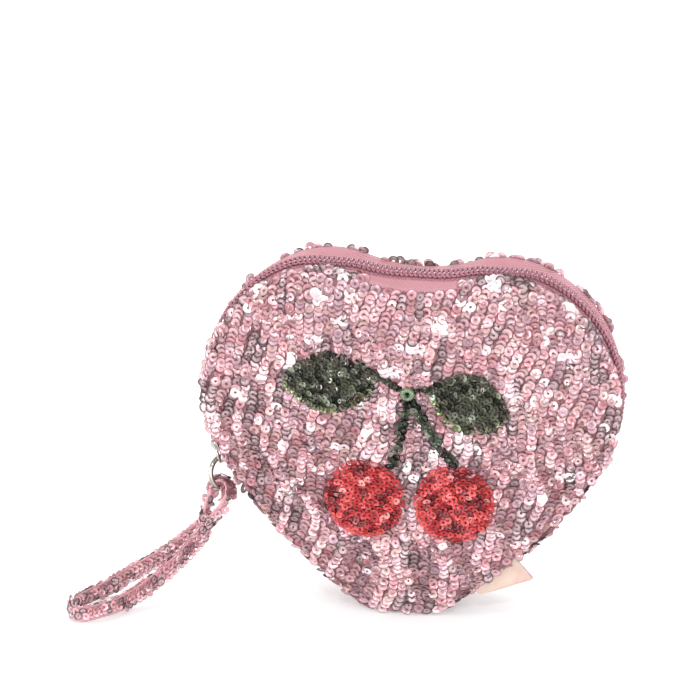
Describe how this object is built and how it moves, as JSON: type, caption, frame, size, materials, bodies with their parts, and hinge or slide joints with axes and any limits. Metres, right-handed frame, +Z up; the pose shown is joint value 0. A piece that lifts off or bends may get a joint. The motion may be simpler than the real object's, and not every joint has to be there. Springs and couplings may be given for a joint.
{
  "type": "heart shaped zip purse",
  "caption": "Padded heart shaped purse with sequinned faces, cherries sewn on the front, a zip over both lobes, a ring pull and a wrist strap",
  "frame": {"origin": "middle of the flattened tip that the purse stands on", "axes": "+X to the right seen from the front, +Y to the back, +Z up; the face with the cherries looks along -Y"},
  "size_m": [0.1654, 0.0578, 0.1113],
  "materials": {
    "pink_sequins": "small shiny ring sequins on cloth",
    "wadding": "soft white padding",
    "lining": "plain satin",
    "zip_tape": "woven twill tape",
    "zip_coil": "nylon coil",
    "label": "blank folded satin label",
    "red_sequins": "small shiny ring sequins on cloth",
    "green_thread": "embroidery thread",
    "bead": "clear green glass",
    "steel": "satin nickel plate"
  },
  "bodies": {
    "bag": {"back_panel": "pink_sequins", "back_wadding": "wadding", "back_lining": "lining", "front_panel_lower": "pink_sequins", "front_wadding_lower": "wadding", "front_lining_lower": "lining", "bottom_gusset": "pink_sequins", "gusset_lining": "lining", "rear_zip_tape": "zip_tape", "rear_zip_coil": "zip_coil", "front_tape_ends": "zip_tape", "front_coil_ends": "zip_coil", "zip_stops": "zip_coil", "side_label": "label", "left_cherry": "red_sequins", "right_cherry": "red_sequins", "stem_ends": "green_thread"},
    "flap": {"front_panel_upper": "pink_sequins", "front_wadding_upper": "wadding", "front_lining_upper": "lining", "front_zip_tape": "zip_tape", "front_zip_coil": "zip_coil", "stems": "green_thread", "left_leaf": "green_thread", "right_leaf": "green_thread", "stem_bead": "bead"},
    "slider": {"slider_body": "steel"},
    "link": {"link_ring": "steel"},
    "pull": {"pull_ring": "steel"},
    "strap": {"strap_eye": "pink_sequins", "strap_loop": "pink_sequins"}
  },
  "joints": [
    {"name": "flap_fold", "type": "hinge", "parent": "bag", "child": "flap", "pos_m": [0, -0.019, 0.056], "axis": [1, 0, 0], "range_deg": [0, 40]},
    {"name": "slider_travel", "type": "hinge", "parent": "bag", "child": "slider", "pos_m": [-0.0225, 0, 0.07002], "axis": [0, -1, 0], "range_deg": [-92, 0]},
    {"name": "link_swing", "type": "hinge", "parent": "slider", "child": "link", "pos_m": [-0.06097, 0, 0.04727], "axis": [0, 1, 0], "range_deg": [0, 60]},
    {"name": "ring_swing", "type": "hinge", "parent": "link", "child": "pull", "pos_m": [-0.05982, 0, 0.04298], "axis": [0.683, 0.7071, 0.183], "range_deg": [0, 20]},
    {"name": "strap_swing", "type": "hinge", "parent": "pull", "child": "strap", "pos_m": [-0.05876, -0.00155, 0.033], "axis": [0.7284, 0.6409, -0.2424], "range_deg": [0, 45]}
  ]
}
